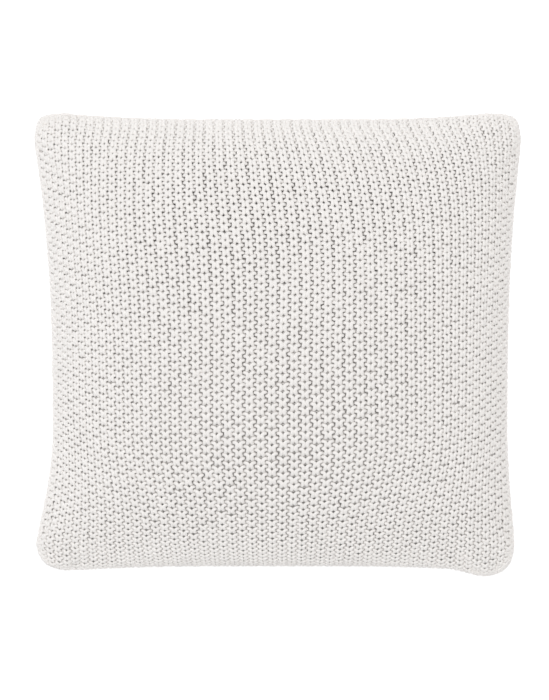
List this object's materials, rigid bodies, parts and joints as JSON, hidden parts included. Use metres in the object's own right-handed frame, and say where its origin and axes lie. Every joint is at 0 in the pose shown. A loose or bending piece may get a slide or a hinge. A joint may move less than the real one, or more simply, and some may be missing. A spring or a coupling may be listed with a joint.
{
  "type": "throw pillow",
  "caption": "Square throw pillow: a chunky knitted cover, closed by a hidden coil zip in its lower edge, over a filled cotton insert.",
  "frame": {"origin": "centre of the pillow in plan, on the flat patch it rests on", "axes": "+Z from the back face to the front face, +Y from the zip edge to the upper edge, +X to the right as the front face is looked at"},
  "size_m": [0.4864, 0.4638, 0.164],
  "materials": {
    "knit": "matte",
    "thread": "matte",
    "cotton": "matte",
    "fibre": "matte",
    "tape": "matte",
    "coil": "satin",
    "nickel": "satin",
    "label": "satin"
  },
  "bodies": {
    "pillow": {"front_panel": "knit", "back_panel": "knit", "cover_seam": "thread", "insert_front": "cotton", "insert_back": "cotton", "insert_seam": "thread", "insert_filling": "fibre", "zip_tape_front": "tape", "zip_coil_front": "coil", "zip_stitching_front": "thread", "zip_top_stop_front": "nickel", "zip_tape_back": "tape", "zip_coil_back": "coil", "zip_stitching_back": "thread", "zip_top_stop_back": "nickel", "zip_bottom_stop": "nickel", "care_label": "label"},
    "slider": {"zip_slider": "nickel"},
    "pull": {"zip_pull": "nickel"}
  },
  "joints": [
    {"name": "zip_travel", "type": "slide", "parent": "pillow", "child": "slider", "axis": [-1, 0, 0], "range_m": [0, 0.351]},
    {"name": "pull_swing", "type": "hinge", "parent": "slider", "child": "pull", "pos_m": [0.1755, -0.21795, 0.074], "axis": [0, 0, 1], "range_deg": [0, 170]}
  ]
}
